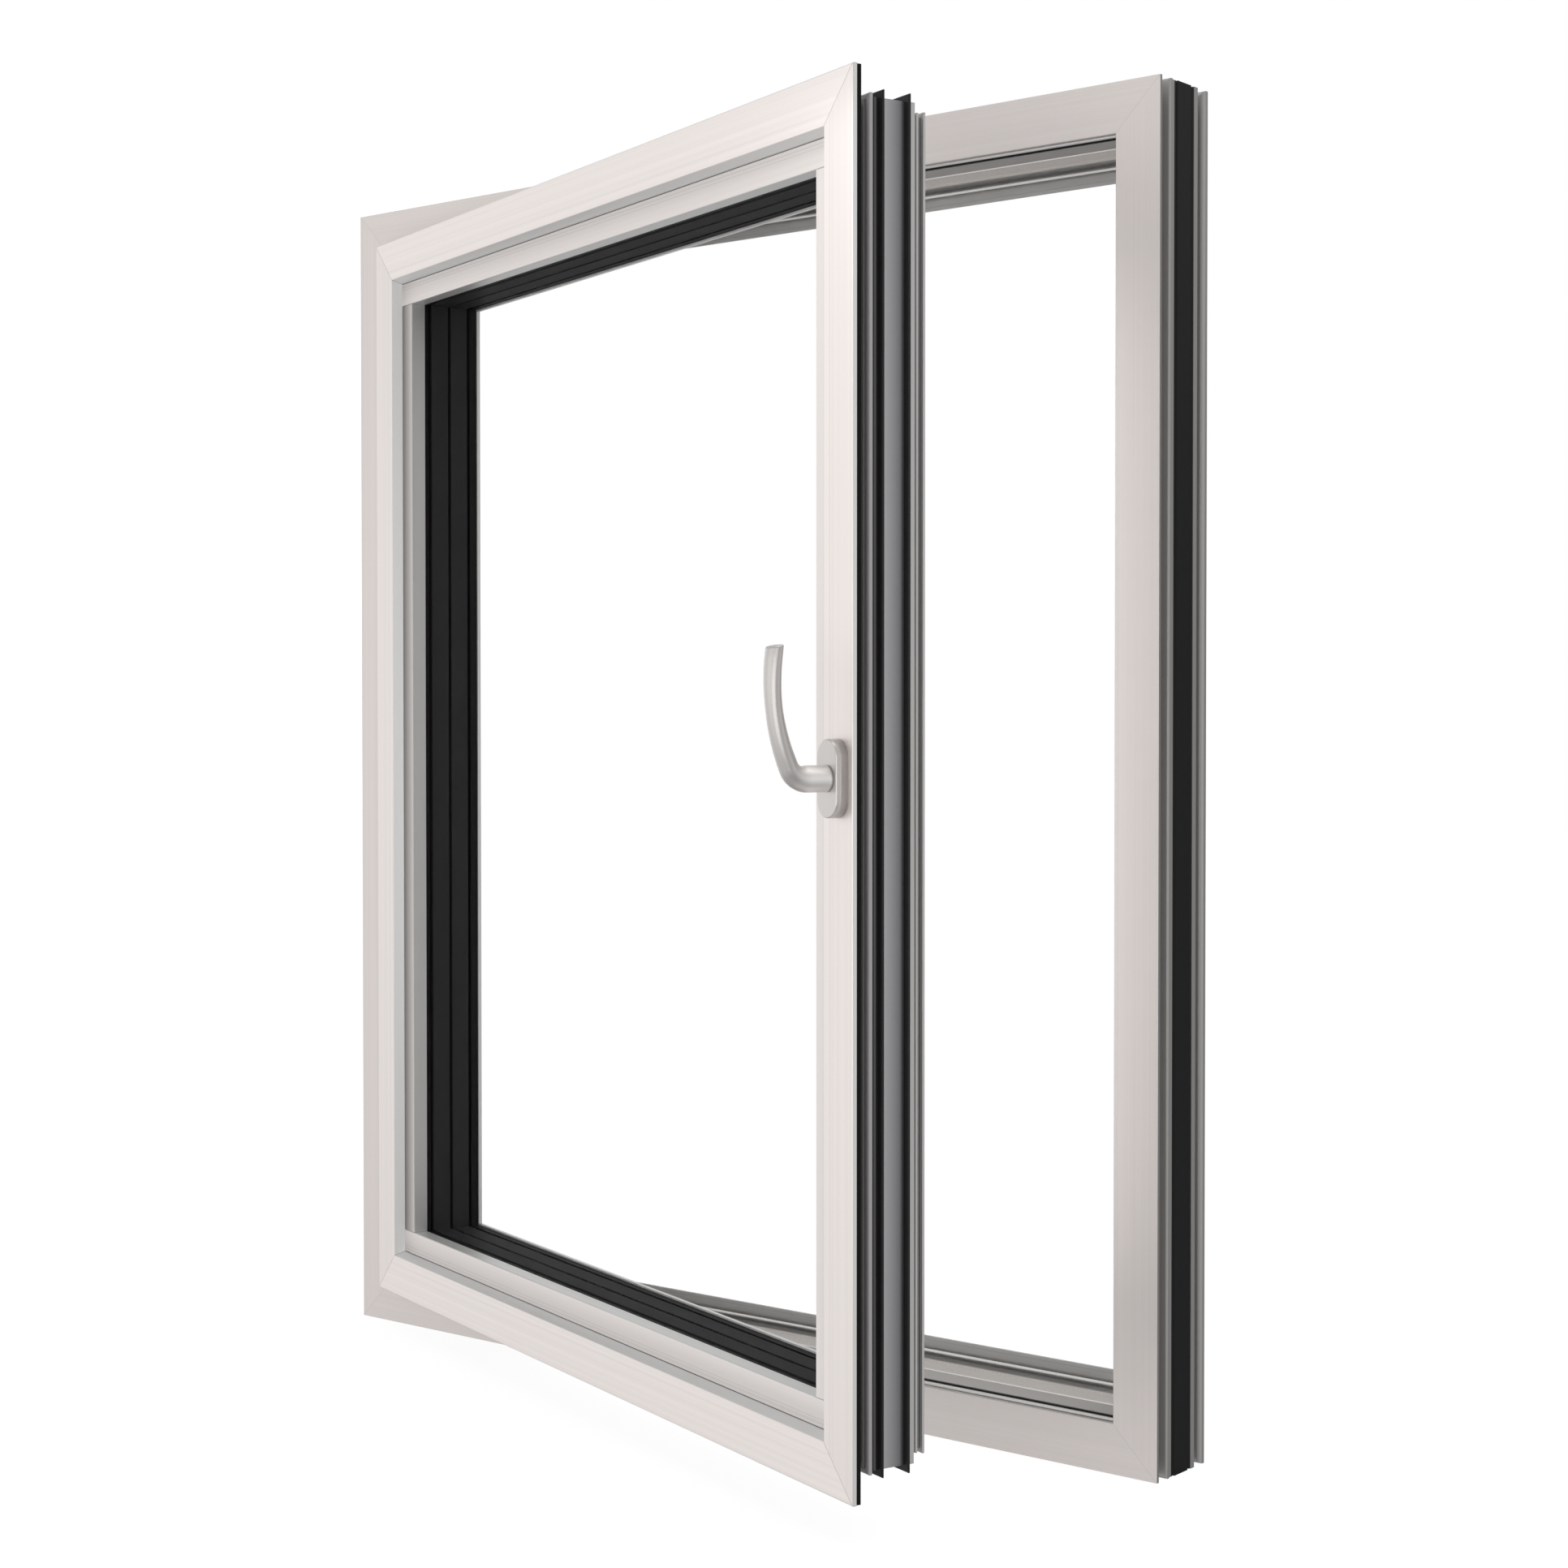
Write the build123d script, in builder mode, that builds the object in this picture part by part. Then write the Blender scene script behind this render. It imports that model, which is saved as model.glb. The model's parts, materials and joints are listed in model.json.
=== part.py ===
# Side-hung window, opening inwards, in thermally broken aluminium with triple glazing.
# Millimetres, +Z up, room side towards -Y. The origin is on the underside of the sill,
# at mid-width and mid-depth of the fixed frame. The leaf is hung on its left, seen from
# the room, and is written standing open. It is modelled shut and then swung.
import math
import os
from build123d import *

os.makedirs("parts", exist_ok=True)

# Fixed frame: overall size
frame_width = 1130.0
frame_height = 1350.0
frame_depth = 90.0

# Fixed frame: section, as insets from the outer edge and depths from the room face
frame_face = 50.0            # face width seen from the room
frame_inner_depth = 27.0     # inner aluminium shell
frame_break_depth = 36.5     # insulating bars between the shells
frame_flange = 3.5           # thickness of the room-side flange
frame_groove_end = 18.0      # the groove round the edge ends here
frame_fin_width = 5.0        # fin beside that groove
frame_shoulder = 0.5         # step down from the fin to the insulating bar
frame_edge_groove = 12.0     # depth of the grooves round the outer edge
frame_hardware_floor = 38.0  # inset of the hardware groove's floor
frame_lip_reach = 47.5       # inset of the lip that closes the hardware groove
frame_lip_width = 7.0
frame_ledge = 2.0            # small step beside the lip's root
frame_break_reach = 48.7     # inset of the insulating bar in the rebate
frame_ramp_start = 60.0      # depth where the rebate starts to rise
frame_ramp_end = 72.0
frame_ramp_rise = 9.0
frame_stop_start = 79.0      # the rounded stop lip
frame_stop_width = 4.0
frame_stop_reach = 64.4
frame_channel_reach = 59.5   # floor of the drain channel beside the stop lip
frame_outer_flange = 2.8
frame_outer_edge = 8.0       # width of the outer shell's edge
frame_outer_rib = 7.0        # rib beside the insulating bar
frame_outer_reach = 76.5     # inset of the outer flange, which covers the leaf's edge
notch_width = 3.0            # V notches in the insulating bar
notch_depth = 1.2
notch_inset = 2.6            # from the bar's edge to the notch

# Rounding of the extrusions' corners
face_round = 1.4             # corners beside a visible face
lip_round = 2.0              # rounded lips in the rebate and round the edge
edge_round = 4.8             # front corner of the outer shell's edge
fin_share = 0.45             # rounding of thin lips and fins, as a share of their width

# Leaf: size, place and section, as insets from its own edge and depths from its face
leaf_margin = 42.0           # from the frame's outer edge to the leaf's edge
leaf_stand_off = 10.8        # leaf face proud of the frame face when shut
leaf_face = 46.5
leaf_flange = 4.4
leaf_return_depth = 11.8     # splayed return down to the glazing bead
leaf_return_splay = 5.0
leaf_inner_depth = 33.3
leaf_break_depth = 39.7
leaf_shut_depth = 92.8       # depth behind the frame's outer flange
leaf_outer_depth = 100.5     # depth of the part inside the frame's outer flange
leaf_hardware_floor = 28.0
leaf_lip_reach = 18.4
leaf_lip_width = 4.3
leaf_ledge = 2.0             # small step at the lip's root
leaf_ledge_reach = 24.0
leaf_break_reach = 21.4
leaf_fin_reach = 15.0        # black fins on the insulating bar
leaf_fin_width = 2.7
leaf_fin_depths = (41.5, 69.9)
leaf_outer_rib = 7.5         # rib of the outer shell beside the insulating bar
leaf_outer_rib_reach = 21.0
leaf_valley_reach = 29.7     # floor between that rib and the outer fin
leaf_outer_fin_reach = 27.7
leaf_outer_fin_width = 2.0
leaf_drip_depth = 89.0       # drip groove behind the outer fin
leaf_drip_width = 2.6
leaf_drip_floor = 35.7
leaf_cover_reach = 31.0      # edge of the outer flange
leaf_step_gap = 5.3          # between the frame's outer flange and the leaf
leaf_web_inset = 56.0        # glazing rebate floor

wall = 2.0                   # walls of the aluminium extrusions
break_wall = 3.0             # walls of the insulating bars

# Glazing
bead_depth = 17.0
bead_edge = 78.3             # inset of the bead's free edge
bead_gap = 1.0               # shadow gap beside the return
bead_gap_depth = 3.0
bead_wall = 1.8
inner_gasket_depth = 5.0
pane_thickness = 4.0
spacer_depth = 21.0
glass_inset = 60.0
spacer_inset = 66.0
sight_line = 79.0            # inset of the spacers' and gaskets' visible edges
inner_gasket_width = 8.0
outer_gasket_width = 12.0
outer_lip = 4.0              # thickness of the outer glazing lip
outer_lip_reach = 81.0

# Overlap seal behind the leaf's flange
seal_depth = 4.7
seal_width = 6.0
seal_inset = 0.4
seal_hinge_inset = 12.0      # further in on the hinge side, clear of the hinges
seal_groove = 1.2

# Hinges, hidden between the leaf's flange and the frame
hinge_offset = 1.2           # axis outside the leaf's edge
hinge_lift = 3.9             # axis in front of the frame face
hinge_barrel = 4.2           # diameter
hinge_pin = 2.0              # diameter
hinge_pin_clearance = 0.1
hinge_length = 90.0
hinge_gap = 0.5              # between the barrels
hinge_plate = 1.2
hinge_plate_width = 10.0
hinge_inset = 190.0          # from the leaf's ends to a hinge's middle
open_angle = 18.9            # how far the leaf stands open

# Handle
handle_height_offset = 8.0   # spindle above mid-height
handle_inset = 23.0          # spindle from the leaf's edge
rosette_height = 70.0
rosette_width = 32.0
rosette_thickness = 12.4
rosette_edge = 1.4           # bevel round the face
spindle_diameter = 12.0
spindle_depth = 8.0
spindle_clearance = 0.1
lever_gap = 0.6              # between rosette and lever
neck_diameter = 24.0
neck_length = 22.6           # straight part of the neck
bend_radius = 18.0
bend_angle = 66.0
bend_width = 21.0            # lever section where the bend ends
bend_thickness = 17.0
grip_radius = 180.0          # gentle curve of the grip
grip_width = 19.4
grip_front = 7.5             # rounded front of the grip, beyond its middle line
grip_back = 6.0              # flatter back
lever_height = 116.6         # from the spindle up to the lever's end
lever_end_width = 23.0
lever_end_front = 8.0
lever_end_back = 4.5
lever_end_slope = 14.0       # the end is cut facing the room a little
lever_end_spare = 6.0        # swept beyond the cut
lever_end_bevel = 1.0
bend_steps = 4               # sections along the bend and along each half of the grip
grip_steps = 3

# Derived values
room_face = -frame_depth / 2
stop_round = frame_stop_width * fin_share
fin_round = leaf_fin_width * fin_share
leaf_face_y = room_face - leaf_stand_off
leaf_width = frame_width - 2 * leaf_margin
leaf_height = frame_height - 2 * leaf_margin
mid_height = frame_height / 2
frame_break_end = frame_inner_depth + frame_break_depth
leaf_break_end = leaf_inner_depth + leaf_break_depth
bead_end = leaf_return_depth + bead_depth
glass_start = bead_end + inner_gasket_depth
outer_lip_start = leaf_outer_depth - outer_lip
glass_end = glass_start + 3 * pane_thickness + 2 * spacer_depth
hinge_x = -leaf_width / 2 - hinge_offset
hinge_axis = Axis((hinge_x, room_face - hinge_lift, 0), (0, 0, 1))

# The four members of a rectangle: which way is inwards, seen from each
SIDES = {
    "sill": Vector(0, 0, 1),
    "head": Vector(0, 0, -1),
    "hinge_jamb": Vector(1, 0, 0),
    "lock_jamb": Vector(-1, 0, 0),
}
LEAF_NAMES = {
    "sill": "bottom_rail",
    "head": "top_rail",
    "hinge_jamb": "hinge_stile",
    "lock_jamb": "lock_stile",
}


def edge_point(inward, width, height, face_y):
    """Middle of one outer edge of a rectangle that is centred in the frame."""
    return Vector(-inward.X * width / 2, face_y, mid_height - inward.Z * height / 2)


def member_plane(inward, width, height, face_y):
    """Section plane of one member: x is the inset, y is the depth."""
    along = inward.cross(Vector(0, 1, 0))
    return Plane(edge_point(inward, width, height, face_y), x_dir=inward, z_dir=along)


def member_length(inward, width, height):
    return width if inward.X == 0 else height


def mitre_planes(inward, width, height, face_y):
    """The two 45 degree planes that end a member."""
    along = inward.cross(Vector(0, 1, 0))
    half = member_length(inward, width, height) / 2
    middle = edge_point(inward, width, height, face_y)
    return [Plane(middle + along * half * s, z_dir=along * s + inward) for s in (1, -1)]


def rounded(outline):
    """Closed outline from corners of (inset, depth) or (inset, depth, radius)."""
    corners = [corner[:2] for corner in outline]
    radii = [corner[2] if len(corner) == 3 else 0 for corner in outline]
    return FilletPolyline(*corners, radius=radii, close=True)


def mitred(outline, hollows, inward, width, height, face_y):
    """One extruded member with mitred ends, from its section and its chambers."""
    with BuildPart() as member:
        with BuildSketch(member_plane(inward, width, height, face_y)):
            with BuildLine():
                rounded(outline)
            make_face()
            for hollow in hollows:
                with BuildLine():
                    Polyline(*hollow, close=True)
                make_face(mode=Mode.SUBTRACT)
        extrude(amount=member_length(inward, width, height) / 2, both=True)
        for plane in mitre_planes(inward, width, height, face_y):
            split(bisect_by=plane, keep=Keep.BOTTOM)
    return member.part


def chamber(inset_from, inset_to, depth_from, depth_to):
    """Rectangular chamber in a section."""
    return [(inset_from, depth_from), (inset_to, depth_from), (inset_to, depth_to), (inset_from, depth_to)]


def write(part, name):
    part.label = name
    export_step(part, "parts/" + name + ".step")


def write_leaf(part, name):
    """Leaf pieces are modelled shut and written at the angle the leaf stands open."""
    write(part.rotate(hinge_axis, -open_angle), name)


# Sections of the fixed frame, from corners of (inset, depth) or (inset, depth, radius)
def frame_inner_section():
    fin_end = frame_groove_end + frame_fin_width
    lip_start = frame_inner_depth - frame_lip_width
    outline = [
        (0, 0), (frame_face, 0, face_round), (frame_face, frame_flange),
        (frame_hardware_floor, frame_flange), (frame_hardware_floor, lip_start - frame_ledge),
        (frame_hardware_floor + frame_ledge, lip_start - frame_ledge),
        (frame_hardware_floor + frame_ledge, lip_start),
        (frame_lip_reach, lip_start, lip_round), (frame_lip_reach, frame_inner_depth, lip_round),
        (frame_shoulder, frame_inner_depth), (frame_shoulder, fin_end), (0, fin_end),
        (0, frame_groove_end, lip_round), (frame_edge_groove, frame_groove_end),
        (frame_edge_groove, frame_flange), (0, frame_flange),
    ]
    hollow = chamber(frame_edge_groove + wall, frame_hardware_floor - wall, wall, frame_inner_depth - wall)
    return outline, [hollow]


def frame_break_section():
    start, end = frame_inner_depth, frame_break_end
    rise = frame_ramp_rise * (end - frame_ramp_start) / (frame_ramp_end - frame_ramp_start)
    first, last = start + notch_inset, end - notch_inset
    outline = [
        (frame_shoulder, start), (frame_break_reach, start), (frame_break_reach, frame_ramp_start),
        (frame_break_reach + rise, end), (frame_shoulder, end), (frame_shoulder, last),
        (frame_shoulder + notch_depth, last - notch_width / 2), (0, last - notch_width),
        (0, first + notch_width), (frame_shoulder + notch_depth, first + notch_width / 2),
        (frame_shoulder, first),
    ]
    hollow = chamber(
        frame_shoulder + notch_depth + break_wall, frame_break_reach - break_wall,
        start + break_wall, end - break_wall,
    )
    return outline, [hollow]


def frame_outer_section():
    start, end = frame_break_end, frame_depth
    ramp_top = frame_break_reach + frame_ramp_rise
    rise = frame_ramp_rise * (start - frame_ramp_start) / (frame_ramp_end - frame_ramp_start)
    stop_end = frame_stop_start + frame_stop_width
    outline = [
        (0, start), (frame_break_reach + rise, start), (ramp_top, frame_ramp_end),
        (frame_channel_reach, frame_ramp_end), (frame_channel_reach, frame_stop_start),
        (frame_stop_reach, frame_stop_start, stop_round), (frame_stop_reach, stop_end, stop_round),
        (frame_channel_reach, stop_end), (frame_channel_reach, end - frame_outer_flange),
        (frame_outer_reach, end - frame_outer_flange), (frame_outer_reach, end),
        (0, end), (0, end - frame_outer_edge, edge_round),
        (frame_edge_groove, end - frame_outer_edge), (frame_edge_groove, start + frame_outer_rib),
        (0, start + frame_outer_rib),
    ]
    hollow = chamber(
        frame_edge_groove + wall, frame_break_reach - wall, start + wall, end - frame_outer_flange
    )
    return outline, [hollow]


# Sections of the leaf
def leaf_inner_section():
    end = leaf_inner_depth
    inner_edge = leaf_face + leaf_return_splay
    lip_start = end - leaf_lip_width
    outline = [
        (0, 0, face_round), (leaf_face, 0, face_round), (inner_edge, leaf_return_depth),
        (inner_edge, end), (leaf_lip_reach, end), (leaf_lip_reach, lip_start, lip_round),
        (leaf_ledge_reach, lip_start), (leaf_ledge_reach, lip_start - leaf_ledge),
        (leaf_hardware_floor, lip_start - leaf_ledge), (leaf_hardware_floor, leaf_flange),
        (0, leaf_flange),
    ]
    hollow = chamber(leaf_hardware_floor + wall, leaf_face - wall, leaf_flange, end - wall)
    return outline, [hollow]


def leaf_break_section():
    start, end = leaf_inner_depth, leaf_break_end
    outline = [(leaf_break_reach, start)]
    for depth in leaf_fin_depths:
        outline += [
            (leaf_break_reach, depth), (leaf_fin_reach, depth, fin_round),
            (leaf_fin_reach, depth + leaf_fin_width, fin_round), (leaf_break_reach, depth + leaf_fin_width),
        ]
    outline += [(leaf_break_reach, end), (leaf_web_inset, end), (leaf_web_inset, start)]
    hollow = chamber(
        leaf_break_reach + break_wall, leaf_web_inset - break_wall, start + break_wall, end - break_wall
    )
    return outline, [hollow]


def leaf_outer_section():
    start, end = leaf_break_end, leaf_outer_depth
    step = frame_outer_reach - leaf_margin + leaf_step_gap
    rib_end = start + leaf_outer_rib
    drip_end = leaf_drip_depth + leaf_drip_width
    outline = [
        (leaf_outer_rib_reach, start), (leaf_web_inset, start), (leaf_web_inset, outer_lip_start),
        (outer_lip_reach, outer_lip_start), (outer_lip_reach, end),
        (step, end, face_round), (step, leaf_shut_depth), (leaf_cover_reach, leaf_shut_depth),
        (leaf_cover_reach, drip_end), (leaf_drip_floor, drip_end), (leaf_drip_floor, leaf_drip_depth),
        (leaf_outer_fin_reach, leaf_drip_depth),
        (leaf_outer_fin_reach, leaf_drip_depth - leaf_outer_fin_width),
        (leaf_valley_reach, leaf_drip_depth - leaf_outer_fin_width), (leaf_valley_reach, rib_end),
        (leaf_outer_rib_reach, rib_end),
    ]
    hollow = chamber(
        leaf_drip_floor + wall, leaf_web_inset - wall, start + wall, leaf_shut_depth - wall
    )
    return outline, [hollow]


# Fixed frame: three mitred rings, each of four members
for side, inward in SIDES.items():
    size = (inward, frame_width, frame_height, room_face)
    write(mitred(*frame_inner_section(), *size), "frame_inner_" + side)
    write(mitred(*frame_break_section(), *size), "frame_break_" + side)
    write(mitred(*frame_outer_section(), *size), "frame_outer_" + side)

# Leaf: the same three rings, smaller
for side, inward in SIDES.items():
    size = (inward, leaf_width, leaf_height, leaf_face_y)
    name = LEAF_NAMES[side]
    write_leaf(mitred(*leaf_inner_section(), *size), "leaf_inner_" + name)
    write_leaf(mitred(*leaf_break_section(), *size), "leaf_break_" + name)
    write_leaf(mitred(*leaf_outer_section(), *size), "leaf_outer_" + name)


# Glazing beads: square-cut hollow bars, the level ones run through
def glazing_bead(inward):
    seat = leaf_face + leaf_return_splay
    level = inward.X == 0
    length = member_length(inward, leaf_width, leaf_height) - 2 * (seat if level else bead_edge)
    shadow = seat + bead_gap
    outline = [
        (shadow, leaf_return_depth), (bead_edge, leaf_return_depth, face_round), (bead_edge, bead_end),
        (seat, bead_end),
        (seat, leaf_return_depth + bead_gap_depth), (shadow, leaf_return_depth + bead_gap_depth),
    ]
    hollow = chamber(
        shadow + bead_wall, bead_edge - bead_wall, leaf_return_depth + bead_wall, bead_end - bead_wall
    )
    with BuildPart() as bead:
        with BuildSketch(member_plane(inward, leaf_width, leaf_height, leaf_face_y)):
            with BuildLine():
                rounded(outline)
            make_face()
            with BuildLine():
                Polyline(*hollow, close=True)
            make_face(mode=Mode.SUBTRACT)
        extrude(amount=length / 2, both=True)
    return bead.part


for side, inward in SIDES.items():
    write_leaf(glazing_bead(inward), "glazing_bead_" + LEAF_NAMES[side])


# Flat sheets and loops that lie parallel to the leaf
def leaf_plane(depth):
    """Plane parallel to the leaf, facing outwards, centred on it."""
    return Plane((0, leaf_face_y + depth, mid_height), x_dir=(-1, 0, 0), z_dir=(0, 1, 0))


def loop(inset, width, depth_from, depth_to):
    """Closed rectangular ring round the glass."""
    with BuildPart() as ring:
        with BuildSketch(leaf_plane(depth_from)):
            Rectangle(leaf_width - 2 * inset, leaf_height - 2 * inset)
            Rectangle(
                leaf_width - 2 * (inset + width), leaf_height - 2 * (inset + width), mode=Mode.SUBTRACT
            )
        extrude(amount=depth_to - depth_from)
    return ring.part


pane_step = pane_thickness + spacer_depth
for number, name in enumerate(("inner", "middle", "outer")):
    with BuildPart() as pane:
        with BuildSketch(leaf_plane(glass_start + number * pane_step)):
            Rectangle(leaf_width - 2 * glass_inset, leaf_height - 2 * glass_inset)
        extrude(amount=pane_thickness)
    write_leaf(pane.part, name + "_pane")

for number, name in enumerate(("inner", "outer")):
    spacer_start = glass_start + pane_thickness + number * pane_step
    spacer = loop(spacer_inset, sight_line - spacer_inset, spacer_start, spacer_start + spacer_depth)
    write_leaf(spacer, name + "_spacer")

inner_gasket = loop(bead_edge - inner_gasket_width, inner_gasket_width, bead_end, glass_start)
write_leaf(inner_gasket, "inner_glazing_gasket")
outer_gasket = loop(sight_line - outer_gasket_width, outer_gasket_width, glass_end, outer_lip_start)
write_leaf(outer_gasket, "outer_glazing_gasket")

# Overlap seal: two soft ribs on one back, set further in beside the hinges
with BuildPart() as seal:
    shift = (seal_hinge_inset - seal_inset) / 2
    seal_wide = leaf_width - seal_inset - seal_hinge_inset
    seal_high = leaf_height - 2 * seal_inset
    with BuildSketch(leaf_plane(leaf_flange)):
        with Locations((-shift, 0)):
            Rectangle(seal_wide, seal_high)
            Rectangle(seal_wide - 2 * seal_width, seal_high - 2 * seal_width, mode=Mode.SUBTRACT)
    extrude(amount=seal_depth)
    groove_inset = (seal_width - seal_groove) / 2
    with BuildSketch(leaf_plane(leaf_flange + seal_depth)):
        with Locations((-shift, 0)):
            Rectangle(seal_wide - 2 * groove_inset, seal_high - 2 * groove_inset)
            Rectangle(
                seal_wide - 2 * (groove_inset + seal_groove),
                seal_high - 2 * (groove_inset + seal_groove), mode=Mode.SUBTRACT,
            )
    extrude(amount=-seal_depth / 2, mode=Mode.SUBTRACT)
write_leaf(seal.part, "overlap_seal")


# Hinges: three barrels on a hidden pin, the middle one belongs to the leaf
def hinge_frame_side(height):
    barrel_length = (hinge_length - 2 * hinge_gap) / 3
    bottom = Plane((hinge_x, room_face - hinge_lift, height - hinge_length / 2))
    with BuildPart() as side:
        with BuildSketch(bottom):
            Circle(hinge_pin / 2)
        extrude(amount=hinge_length)
        for start in (0, hinge_length - barrel_length):
            with BuildSketch(bottom.offset(start)):
                Circle(hinge_barrel / 2)
                with Locations((0, hinge_lift / 2)):
                    Rectangle(hinge_barrel, hinge_lift)
            extrude(amount=barrel_length)
        with BuildSketch(bottom):
            with Locations((hinge_plate_width / 2 - hinge_barrel / 2, hinge_lift - hinge_plate / 2)):
                Rectangle(hinge_plate_width, hinge_plate)
        extrude(amount=hinge_length)
    return side.part


def hinge_leaf_side(height):
    barrel_length = (hinge_length - 2 * hinge_gap) / 3
    back = leaf_stand_off - leaf_flange - hinge_lift
    plane = Plane((hinge_x, room_face - hinge_lift, height - barrel_length / 2))
    with BuildPart() as side:
        with BuildSketch(plane):
            Circle(hinge_barrel / 2)
            with Locations((hinge_plate_width / 2, -back + hinge_plate / 2)):
                Rectangle(hinge_plate_width, hinge_plate)
            Circle(hinge_pin / 2 + hinge_pin_clearance, mode=Mode.SUBTRACT)
        extrude(amount=barrel_length)
    return side.part


hinge_heights = {
    "lower": leaf_margin + hinge_inset,
    "upper": frame_height - leaf_margin - hinge_inset,
}
for name, height in hinge_heights.items():
    write(hinge_frame_side(height), name + "_hinge_frame_side")
    write_leaf(hinge_leaf_side(height), name + "_hinge_leaf_side")

# Handle: a stadium rosette on the lock stile and a lever that points up
spindle_x = leaf_width / 2 - handle_inset
spindle_z = mid_height + handle_height_offset


def handle_plane(reach):
    """Plane parallel to the leaf, facing the room, centred on the spindle."""
    return Plane((spindle_x, leaf_face_y - reach, spindle_z), x_dir=(1, 0, 0), z_dir=(0, -1, 0))


with BuildPart() as rosette:
    with BuildSketch(handle_plane(0)):
        SlotOverall(rosette_height, rosette_width, rotation=90)
    extrude(amount=rosette_thickness)
    chamfer(rosette.edges().group_by(Axis.Y)[0], length=rosette_edge)
    with BuildSketch(handle_plane(rosette_thickness)):
        Circle(spindle_diameter / 2 + spindle_clearance)
    extrude(amount=-spindle_depth - lever_gap, mode=Mode.SUBTRACT)
write_leaf(rosette.part, "rosette")


# Lever: a loft along its centre line, from the round neck over a tight bend to the curved grip
lever_base = rosette_thickness + lever_gap
lever_foot = handle_plane(lever_base)
lean = 90 - bend_angle
bend_rise = bend_radius * (1 - math.cos(math.radians(bend_angle)))
grip_crown = bend_rise + grip_radius * math.sin(math.radians(lean))
past_crown = (lever_height + lever_end_spare - grip_crown) / grip_radius
grip_angle = lean + math.degrees(math.asin(past_crown))
with BuildLine(Plane(lever_foot.origin, x_dir=(0, -1, 0), z_dir=(-1, 0, 0))):
    neck = Line((0, 0), (neck_length, 0))
    bend = JernArc(neck @ 1, neck % 1, bend_radius, bend_angle)
    grip = JernArc(bend @ 1, bend % 1, grip_radius, grip_angle)


def lever_section(edge, share, wide, front, back):
    """Lever section at a share of one stretch: a front and a back half ellipse."""
    with BuildSketch(Plane(edge @ share, x_dir=(1, 0, 0), z_dir=edge % share)) as section:
        with BuildLine():
            EllipticalCenterArc((0, 0), wide / 2, back, start_angle=0, arc_size=180)
            EllipticalCenterArc((0, 0), wide / 2, front, start_angle=180, arc_size=180)
        make_face()
    return section.sketch


def between(first, last, edge, start, end, steps):
    """Sections from one set of sizes (wide, front, back) to another, along part of a stretch."""
    for step in range(1, steps + 1):
        share = step / steps
        sizes = [a + (b - a) * share for a, b in zip(first, last)]
        yield lever_section(edge, start + (end - start) * share, *sizes)


neck_sizes = (neck_diameter, neck_diameter / 2, neck_diameter / 2)
bend_sizes = (bend_width, bend_thickness / 2, bend_thickness / 2)
grip_sizes = (grip_width, grip_front, grip_back)
end_sizes = (lever_end_width, lever_end_front, lever_end_back)
lever_sections = [
    lever_section(neck, 0, *neck_sizes),
    lever_section(neck, 1, *neck_sizes),
    *between(neck_sizes, bend_sizes, bend, 0, 1, bend_steps),
    *between(bend_sizes, grip_sizes, grip, 0, 0.5, grip_steps),
    *between(grip_sizes, end_sizes, grip, 0.5, 1, grip_steps),
]
with BuildPart() as lever:
    loft(sections=lever_sections, ruled=True)
    end_normal = Vector(0, -1, 0) * math.sin(math.radians(lever_end_slope)) + Vector(0, 0, 1) * math.cos(
        math.radians(lever_end_slope)
    )
    end_middle = Vector(spindle_x, (grip @ 1).Y, spindle_z + lever_height)
    split(bisect_by=Plane(end_middle, z_dir=end_normal), keep=Keep.BOTTOM)
    chamfer(lever.faces().sort_by(Axis.Z)[-1].edges(), length=lever_end_bevel)
    with BuildSketch(lever_foot):
        Circle(spindle_diameter / 2)
    extrude(amount=-spindle_depth - lever_gap)
write_leaf(lever.part, "lever_handle")
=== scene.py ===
# %% [markdown]
# # A side-hung aluminium window, dressed for rendering
# The solids of this window were drawn in a CAD program and packed as a "frame" of named nodes.
# This lesson keeps those solids where they are and gives them what a camera sees: the brushed
# and anodised aluminium, the black insulating bars, the glass, and the thin trim that is too
# fine for the solids. Every piece added here rides on one of three bodies, so that the leaf
# can swing and the lever can turn.

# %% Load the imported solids
import json
import math

import bmesh
import bpy
from mathutils import Matrix, Vector


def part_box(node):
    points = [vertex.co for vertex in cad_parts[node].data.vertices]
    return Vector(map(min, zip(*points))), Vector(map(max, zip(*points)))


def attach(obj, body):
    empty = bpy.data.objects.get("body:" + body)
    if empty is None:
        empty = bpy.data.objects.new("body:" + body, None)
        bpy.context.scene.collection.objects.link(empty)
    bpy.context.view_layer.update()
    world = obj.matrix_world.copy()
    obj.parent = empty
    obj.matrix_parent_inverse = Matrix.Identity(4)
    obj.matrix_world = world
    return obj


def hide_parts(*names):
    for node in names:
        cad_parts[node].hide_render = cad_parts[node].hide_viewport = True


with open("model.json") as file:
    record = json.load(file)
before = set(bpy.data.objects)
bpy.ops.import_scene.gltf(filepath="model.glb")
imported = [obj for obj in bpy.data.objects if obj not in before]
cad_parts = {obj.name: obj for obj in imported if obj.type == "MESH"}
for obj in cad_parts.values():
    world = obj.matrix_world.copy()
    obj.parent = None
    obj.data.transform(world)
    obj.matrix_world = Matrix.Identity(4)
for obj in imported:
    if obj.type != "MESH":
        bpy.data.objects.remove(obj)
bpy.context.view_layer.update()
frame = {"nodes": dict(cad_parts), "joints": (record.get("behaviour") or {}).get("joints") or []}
nodes = frame["nodes"]

# %% [markdown]
# ## Where things are
# The leaf stands open, so its own straight directions are turned against the room. Shading and
# trim are easier to lay out on the shut leaf, and the hinge tells us how to turn them back.
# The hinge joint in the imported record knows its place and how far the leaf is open: the lower
# end of its range is the shut leaf.

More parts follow.
